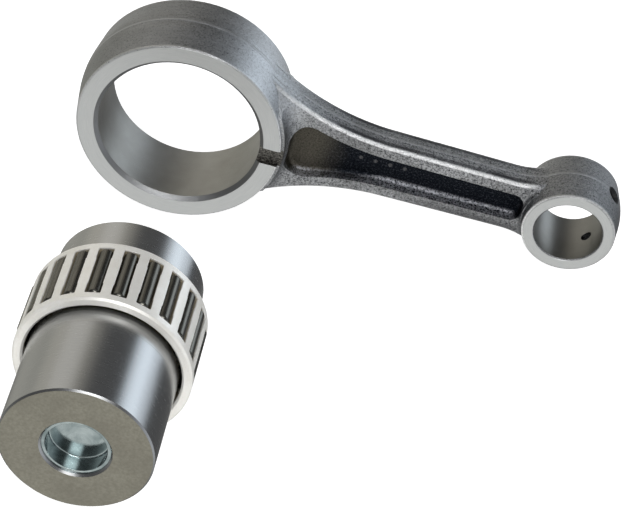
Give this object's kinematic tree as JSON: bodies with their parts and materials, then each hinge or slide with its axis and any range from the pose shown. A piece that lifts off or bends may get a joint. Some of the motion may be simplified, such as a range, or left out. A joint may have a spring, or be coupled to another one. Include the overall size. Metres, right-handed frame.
{
  "type": "connecting rod with crank pin and needle bearing",
  "caption": "Forged I-beam connecting rod with a plain small-end bore, laid out with its crank pin and the caged needle roller bearing that slides into its big end.",
  "frame": {"origin": "centre of the big-end bore", "axes": "+Y along both bores, away from the crank pin at rest; +X from the big end to the small end; +Z across the shank"},
  "size_m": [0.1472, 0.1415, 0.0568],
  "materials": {
    "forged_steel": "shot-blasted forging with ground end faces and honed bores",
    "ground_steel": "ground and polished cylinder with matte end faces",
    "zinc_plate": "bright zinc plating",
    "silver_plate": "satin silver plating",
    "roller_steel": "polished bearing steel"
  },
  "bodies": {
    "rod": {"connecting_rod": "forged_steel"},
    "cage": {"needle_cage": "silver_plate"},
    "crank_pin": {"crank_pin": "ground_steel", "gallery_plug": "zinc_plate"},
    "roller_01": {"roller_01": "roller_steel"},
    "roller_02": {"roller_02": "roller_steel"},
    "roller_03": {"roller_03": "roller_steel"},
    "roller_04": {"roller_04": "roller_steel"},
    "roller_05": {"roller_05": "roller_steel"},
    "roller_06": {"roller_06": "roller_steel"},
    "roller_07": {"roller_07": "roller_steel"},
    "roller_08": {"roller_08": "roller_steel"},
    "roller_09": {"roller_09": "roller_steel"},
    "roller_10": {"roller_10": "roller_steel"},
    "roller_11": {"roller_11": "roller_steel"},
    "roller_12": {"roller_12": "roller_steel"},
    "roller_13": {"roller_13": "roller_steel"},
    "roller_14": {"roller_14": "roller_steel"},
    "roller_15": {"roller_15": "roller_steel"},
    "roller_16": {"roller_16": "roller_steel"},
    "roller_17": {"roller_17": "roller_steel"},
    "roller_18": {"roller_18": "roller_steel"},
    "roller_19": {"roller_19": "roller_steel"},
    "roller_20": {"roller_20": "roller_steel"},
    "roller_21": {"roller_21": "roller_steel"},
    "roller_22": {"roller_22": "roller_steel"}
  },
  "joints": [
    {"name": "bearing_insert", "type": "slide", "parent": "rod", "child": "cage", "axis": [0, 1, 0], "range_m": [0, 0.0933]},
    {"name": "crank_pin_turn", "type": "hinge", "parent": "cage", "child": "crank_pin", "pos_m": [0, -0.0933, 0], "axis": [0, 1, 0], "continuous": true},
    {"name": "roller_01_roll", "type": "hinge", "parent": "cage", "child": "roller_01", "pos_m": [0, -0.0933, 0.01975], "axis": [0, 1, 0], "continuous": true},
    {"name": "roller_02_roll", "type": "hinge", "parent": "cage", "child": "roller_02", "pos_m": [-0.00556, -0.0933, 0.01895], "axis": [0, 1, 0], "continuous": true},
    {"name": "roller_03_roll", "type": "hinge", "parent": "cage", "child": "roller_03", "pos_m": [-0.01068, -0.0933, 0.01662], "axis": [0, 1, 0], "continuous": true},
    {"name": "roller_04_roll", "type": "hinge", "parent": "cage", "child": "roller_04", "pos_m": [-0.01493, -0.0933, 0.01293], "axis": [0, 1, 0], "continuous": true},
    {"name": "roller_05_roll", "type": "hinge", "parent": "cage", "child": "roller_05", "pos_m": [-0.01796, -0.0933, 0.0082], "axis": [0, 1, 0], "continuous": true},
    {"name": "roller_06_roll", "type": "hinge", "parent": "cage", "child": "roller_06", "pos_m": [-0.01955, -0.0933, 0.00281], "axis": [0, 1, 0], "continuous": true},
    {"name": "roller_07_roll", "type": "hinge", "parent": "cage", "child": "roller_07", "pos_m": [-0.01955, -0.0933, -0.00281], "axis": [0, 1, 0], "continuous": true},
    {"name": "roller_08_roll", "type": "hinge", "parent": "cage", "child": "roller_08", "pos_m": [-0.01796, -0.0933, -0.0082], "axis": [0, 1, 0], "continuous": true},
    {"name": "roller_09_roll", "type": "hinge", "parent": "cage", "child": "roller_09", "pos_m": [-0.01493, -0.0933, -0.01293], "axis": [0, 1, 0], "continuous": true},
    {"name": "roller_10_roll", "type": "hinge", "parent": "cage", "child": "roller_10", "pos_m": [-0.01068, -0.0933, -0.01662], "axis": [0, 1, 0], "continuous": true},
    {"name": "roller_11_roll", "type": "hinge", "parent": "cage", "child": "roller_11", "pos_m": [-0.00556, -0.0933, -0.01895], "axis": [0, 1, 0], "continuous": true},
    {"name": "roller_12_roll", "type": "hinge", "parent": "cage", "child": "roller_12", "pos_m": [0, -0.0933, -0.01975], "axis": [0, 1, 0], "continuous": true},
    {"name": "roller_13_roll", "type": "hinge", "parent": "cage", "child": "roller_13", "pos_m": [0.00556, -0.0933, -0.01895], "axis": [0, 1, 0], "continuous": true},
    {"name": "roller_14_roll", "type": "hinge", "parent": "cage", "child": "roller_14", "pos_m": [0.01068, -0.0933, -0.01662], "axis": [0, 1, 0], "continuous": true},
    {"name": "roller_15_roll", "type": "hinge", "parent": "cage", "child": "roller_15", "pos_m": [0.01493, -0.0933, -0.01293], "axis": [0, 1, 0], "continuous": true},
    {"name": "roller_16_roll", "type": "hinge", "parent": "cage", "child": "roller_16", "pos_m": [0.01796, -0.0933, -0.0082], "axis": [0, 1, 0], "continuous": true},
    {"name": "roller_17_roll", "type": "hinge", "parent": "cage", "child": "roller_17", "pos_m": [0.01955, -0.0933, -0.00281], "axis": [0, 1, 0], "continuous": true},
    {"name": "roller_18_roll", "type": "hinge", "parent": "cage", "child": "roller_18", "pos_m": [0.01955, -0.0933, 0.00281], "axis": [0, 1, 0], "continuous": true},
    {"name": "roller_19_roll", "type": "hinge", "parent": "cage", "child": "roller_19", "pos_m": [0.01796, -0.0933, 0.0082], "axis": [0, 1, 0], "continuous": true},
    {"name": "roller_20_roll", "type": "hinge", "parent": "cage", "child": "roller_20", "pos_m": [0.01493, -0.0933, 0.01293], "axis": [0, 1, 0], "continuous": true},
    {"name": "roller_21_roll", "type": "hinge", "parent": "cage", "child": "roller_21", "pos_m": [0.01068, -0.0933, 0.01662], "axis": [0, 1, 0], "continuous": true},
    {"name": "roller_22_roll", "type": "hinge", "parent": "cage", "child": "roller_22", "pos_m": [0.00556, -0.0933, 0.01895], "axis": [0, 1, 0], "continuous": true}
  ],
  "couplings": [
    {"joint": "roller_01_roll", "follows": "crank_pin_turn", "ratio": -10.405},
    {"joint": "roller_02_roll", "follows": "crank_pin_turn", "ratio": -10.405},
    {"joint": "roller_03_roll", "follows": "crank_pin_turn", "ratio": -10.405},
    {"joint": "roller_04_roll", "follows": "crank_pin_turn", "ratio": -10.405},
    {"joint": "roller_05_roll", "follows": "crank_pin_turn", "ratio": -10.405},
    {"joint": "roller_06_roll", "follows": "crank_pin_turn", "ratio": -10.405},
    {"joint": "roller_07_roll", "follows": "crank_pin_turn", "ratio": -10.405},
    {"joint": "roller_08_roll", "follows": "crank_pin_turn", "ratio": -10.405},
    {"joint": "roller_09_roll", "follows": "crank_pin_turn", "ratio": -10.405},
    {"joint": "roller_10_roll", "follows": "crank_pin_turn", "ratio": -10.405},
    {"joint": "roller_11_roll", "follows": "crank_pin_turn", "ratio": -10.405},
    {"joint": "roller_12_roll", "follows": "crank_pin_turn", "ratio": -10.405},
    {"joint": "roller_13_roll", "follows": "crank_pin_turn", "ratio": -10.405},
    {"joint": "roller_14_roll", "follows": "crank_pin_turn", "ratio": -10.405},
    {"joint": "roller_15_roll", "follows": "crank_pin_turn", "ratio": -10.405},
    {"joint": "roller_16_roll", "follows": "crank_pin_turn", "ratio": -10.405},
    {"joint": "roller_17_roll", "follows": "crank_pin_turn", "ratio": -10.405},
    {"joint": "roller_18_roll", "follows": "crank_pin_turn", "ratio": -10.405},
    {"joint": "roller_19_roll", "follows": "crank_pin_turn", "ratio": -10.405},
    {"joint": "roller_20_roll", "follows": "crank_pin_turn", "ratio": -10.405},
    {"joint": "roller_21_roll", "follows": "crank_pin_turn", "ratio": -10.405},
    {"joint": "roller_22_roll", "follows": "crank_pin_turn", "ratio": -10.405}
  ]
}
